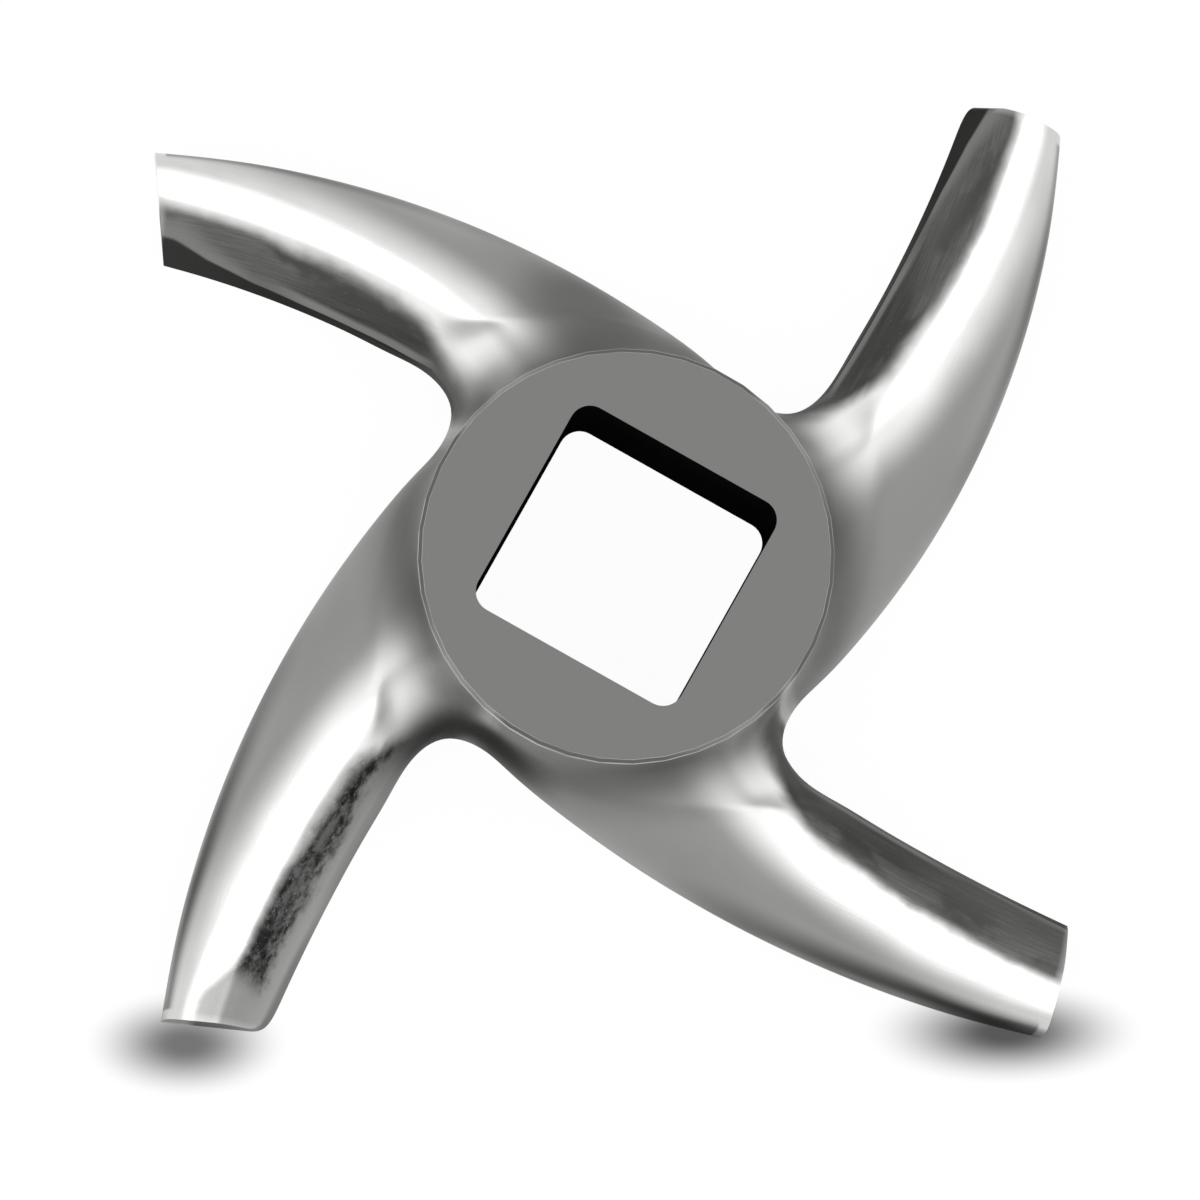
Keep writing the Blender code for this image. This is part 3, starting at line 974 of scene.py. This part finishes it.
# %% Paint the facet dark and the highlights beside it
# The facet's near black is a painted dark reflection; the lines beside it are painted highlights.
on_facet = ramp(tree, facet_in, 1.0, 0.85)
beside_facet = ramp(tree, facet_in, 2.1, 1.05)
painted_wide_highlight = maths(tree, "MULTIPLY", beside_facet, ramp(tree, along_in, 0.55, 0.80))
beside_edge = ramp(tree, facet_in, 2.6, 1.7)
painted_thin_highlight = maths(tree, "MULTIPLY", beside_edge, ramp(tree, along_in, 0.70, 0.50))
painted_thin_highlight = maths(tree, "MULTIPLY", painted_thin_highlight, ramp(tree, along_in, 0.0, 0.1))
tone = mixed(tree, maths(tree, "MULTIPLY", painted_wide_highlight, 0.75), tone, grey(0.26))
tone = mixed(tree, maths(tree, "MULTIPLY", painted_thin_highlight, 0.7), tone, grey(0.33))
plain_arm = maths(tree, "SUBTRACT", 1.0, third_in)
tone = mixed(tree, maths(tree, "MULTIPLY", on_facet, plain_arm), tone, grey(0.045))
print("nodes with the facet:", len(tree.nodes))

# %% Paint shade round the hub, in the bays and in two patches
# Each painted shade patch has a centre, a reach and a depth.
PAINTED_SHADE_PATCHES = (
    ((0.0117, 0.0098, 0.006), 0.0060, 0.50),
    ((-0.0148, 0.0024, 0.004), 0.0068, 1.0),
)
from_axis = vector(tree, "LENGTH", vector(tree, "MULTIPLY", place, (1, 1, 0)), output="Value")
# Painted shade against the hub.
hub_shade = ramp(tree, from_axis, 0.0127, 0.0166, 0.75, 0.0)
tone = mixed(tree, hub_shade, tone, grey(0.08))
# Painted shade in the bays beside the cutting edge.
at_bay = ramp(tree, from_axis, 0.0190, 0.0165)
bay_shade = maths(tree, "MULTIPLY", ramp(tree, across_in, 0.80, 0.96), at_bay)
tone = mixed(tree, maths(tree, "MULTIPLY", bay_shade, 0.8), tone, grey(0.14))
painted_dim_sheen = maths(tree, "MAXIMUM", maths(tree, "MAXIMUM", steep_back, painted_dark_front), bay_shade)
for centre, reach, depth in PAINTED_SHADE_PATCHES:
    away = vector(tree, "DISTANCE", place, centre, output="Value")
    painted_shade_patch = ramp(tree, away, 0.002, reach, depth, 0.0)
    tone = mixed(tree, painted_shade_patch, tone, grey(0.04))
    painted_dim_sheen = maths(tree, "MAXIMUM", painted_dim_sheen, painted_shade_patch)
# Where shade is painted, the reflection's edge tint is greyed, so the grazing sheen is dimmed too.
tree.links.new(mixed(tree, painted_dim_sheen, grey(1.0), grey(0.4)), shader.inputs["Specular Tint"])
print("dark patches:", len(PAINTED_SHADE_PATCHES))

# %% Add the painted edge highlights, the roughness and the marks
at_rim = ramp(tree, from_axis, 0.0129, 0.0126)
at_rim = maths(tree, "MULTIPLY", at_rim, ramp(tree, clouds, 0.35, 0.6, 0.5, 1.0))
at_tip = ramp(tree, along_in, 0.93, 0.97, 0.0, 0.4)
# Painted highlight along the rim and tip edges, uneven with some wear.
wear_and_edge_highlight = maths(tree, "MULTIPLY", edge_highlight_in, maths(tree, "MAXIMUM", at_rim, at_tip))
tree.links.new(mixed(tree, wear_and_edge_highlight, tone, grey(0.7)), shader.inputs["Base Color"])
root_rough = ramp(tree, along_in, 0.08, 0.36, 0.55, 0.23)
base_rough = maths(tree, "MAXIMUM", ramp(tree, painted_dark_front, 0, 1, 0.23, 0.34), root_rough)
roughness = maths(tree, "ADD", base_rough, ramp(tree, clouds, 0.3, 0.8, -0.02, 0.05))
tree.links.new(roughness, shader.inputs["Roughness"])
marks = maths(tree, "ADD", streaks, maths(tree, "MULTIPLY", clouds, 0.6))
bump = node(tree, "ShaderNodeBump", Strength=0.35, Distance=0.00002, Height=marks)
tree.links.new(bump.outputs[0], shader.inputs["Normal"])
print("nodes in the polished steel:", len(tree.nodes))

# %% [markdown]
# ## Ground faces and the hole
#
# The hub's face is ground flat. It looks matt and even, and darker than the polished arms,
# because it faces one way and so reflects one patch of the room. The underside is the same. The
# hole's walls are painted nearly black, painted shade inside the hole.

# %% Make the ground face and the painted dark wall of the hole
ground, tree, shader = new_material("ground_steel")
place = node(tree, "ShaderNodeTexCoord").outputs["Object"]
grain = use_group(tree, scratches, Vector=place, Scale=5200.0)
edge_highlight_in = attribute(tree, "edge")
tone = mixed(tree, ramp(tree, grain, 0.3, 0.7), grey(0.335), grey(0.35))
# A painted highlight lightens the ground face at its edges.
tree.links.new(mixed(tree, edge_highlight_in, tone, grey(0.5)), shader.inputs["Base Color"])
shader.inputs["Roughness"].default_value = 0.15
bump = node(tree, "ShaderNodeBump", Strength=0.1, Distance=0.00001, Height=grain)
tree.links.new(bump.outputs[0], shader.inputs["Normal"])

# The hole's wall is painted near black and given no reflection: painted shade in the hole. Its pits
# are marks.
hole_wall_paint, tree, shader = new_material("painted_dark_hole_wall")
place = node(tree, "ShaderNodeTexCoord").outputs["Object"]
pits = use_group(tree, pitting, Vector=place, Scale=1800.0, Amount=0.7)
tone = mixed(tree, pits, grey(0.004), grey(0.001))
tree.links.new(tone, shader.inputs["Base Color"])
shader.inputs["Metallic"].default_value = 0.0
shader.inputs["Specular IOR Level"].default_value = 0.0
shader.inputs["Roughness"].default_value = 0.8

# %% Give each face its finish
POLISHED, GROUND, HOLE_WALL = range(3)
NEAR = 1e-5
for material in (polished, ground, hole_wall_paint):
    knife.data.materials.append(material)
half_hole = HOLE_SIDE / 2 + NEAR
for face in knife.data.polygons:
    centre, normal = face.center, face.normal
    if max(abs(centre.x), abs(centre.y)) < half_hole and abs(normal.z) < 0.5:
        face.material_index = HOLE_WALL
    elif abs(normal.z) > 0.999 and (centre.z > HUB_HEIGHT - NEAR or centre.z < NEAR):
        face.material_index = GROUND
    else:
        face.material_index = POLISHED
counts = np.bincount([face.material_index for face in knife.data.polygons])
print("faces polished, ground, as cast:", counts.tolist())

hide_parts("knife")
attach(knife, "root")

# %% [markdown]
# ## Floor and light
#
# The floor is plain white, with a soft shadow under each of the two tips nearest the viewer.
# Polished steel shows whatever is around it, so the light matters more here than any colour. The
# room is a dome that is brightest overhead and dims towards the horizon, like a large soft box
# over the table. One dim patch overhead stands for the camera and whoever holds it. The flat hub
# reflects just that patch, which is what makes it grey.

# %% Lay the floor
FLOOR_SIZE, FLOOR_GAP = 6, 0.0001
VIEW_TURN = math.radians(60.5)
GLOW = 0.96
bpy.ops.object.select_all(action="DESELECT")
bpy.ops.mesh.primitive_plane_add(size=FLOOR_SIZE, location=(0, 0, -FLOOR_GAP))
floor = bpy.context.object
floor.name = "floor"
white = bpy.data.materials.new("white_floor")
white.use_nodes = True
tree = white.node_tree
shader = tree.nodes["Principled BSDF"]
shader.inputs["Roughness"].default_value = 1.0
shader.inputs["Specular IOR Level"].default_value = 0.0
place = node(tree, "ShaderNodeTexCoord").outputs["Object"]
flat_turn = {"rotation_type": "Z_AXIS"}
in_view = node(tree, "ShaderNodeVectorRotate", flat_turn, Vector=place, Angle=VIEW_TURN)

# %% Shade the floor under the two tips
# Each soft shadow has a centre, half its length and width, and a depth.
SHADOWS = (
    ((-0.0266, -0.0288, 0), (0.0066, 0.0035), 0.82),
    ((0.0240, -0.0282, 0), (0.0090, 0.0034), 0.90),
)
shade = None
for centre, half_size, depth in SHADOWS:
    stretch = (1 / half_size[0], 1 / half_size[1], 0)
    offset = vector(tree, "SUBTRACT", in_view.outputs[0], centre)
    distance = vector(tree, "LENGTH", vector(tree, "MULTIPLY", offset, stretch), output="Value")
    soft = ramp(tree, distance, 0.1, 1.0, 1 - depth, 1.0)
    shade = soft if shade is None else maths(tree, "MULTIPLY", shade, soft)
tree.links.new(mixed(tree, shade, (0, 0, 0, 1), (0.95, 0.95, 0.95, 1)), shader.inputs["Base Color"])
glow = node(tree, "ShaderNodeEmission", Color=(1, 1, 1, 1), Strength=shade)
path = node(tree, "ShaderNodeLightPath")
seen = maths(tree, "ADD", path.outputs["Is Camera Ray"], path.outputs["Is Glossy Ray"])
seen = maths(tree, "ADD", seen, path.outputs["Is Transmission Ray"], clamp=True)
share = maths(tree, "MULTIPLY", seen, GLOW)
shown = node(tree, "ShaderNodeMixShader", n0=share, n1=shader.outputs[0], n2=glow.outputs[0])
tree.links.new(shown.outputs[0], tree.nodes["Material Output"].inputs["Surface"])
floor.data.materials.append(white)
print("soft shadows on the floor:", len(SHADOWS))

# %% Light the room
# The two directions point at the brightest part of the dome and at the dim patch.
BRIGHTEST = (-0.1062, -0.0051, 0.9943)
DIM_PATCH = (0.1114, 0.0050, 0.9938)
PEAK = 2.0
world = bpy.data.worlds.new("studio_dome")
bpy.context.scene.world = world
world.use_nodes = True
tree = world.node_tree
direction = node(tree, "ShaderNodeTexCoord").outputs["Generated"]


def angle_from(axis_direction):
    """The angle, in degrees, between a direction in the room and this one."""
    dot = vector(tree, "DOT_PRODUCT", direction, axis_direction, output="Value")
    return maths(tree, "DEGREES", maths(tree, "ARCCOSINE", dot))


overhead = angle_from(BRIGHTEST)
falloff = node(tree, "ShaderNodeValToRGB", n0=maths(tree, "DIVIDE", overhead, 180.0))
levels = ((0, PEAK), (32, 1.95), (42, 1.45), (52, 1.1), (62, 0.95), (90, 0.95), (180, 0.95))
while len(falloff.color_ramp.elements) < len(levels):
    falloff.color_ramp.elements.new(0.5)
for element, (degrees, level) in zip(falloff.color_ramp.elements, levels):
    element.position = degrees / 180
    element.color = (level / PEAK, level / PEAK, level / PEAK, 1)
patch = ramp(tree, angle_from(DIM_PATCH), 13.0, 19.0, 0.2, 1.0)
background = tree.nodes["Background"]
tree.links.new(falloff.outputs["Color"], background.inputs["Color"])
tree.links.new(maths(tree, "MULTIPLY", patch, PEAK), background.inputs["Strength"])
bpy.context.scene.view_settings.view_transform = "Standard"
print("light overhead and at the horizon:", levels[0][1], levels[-2][1])
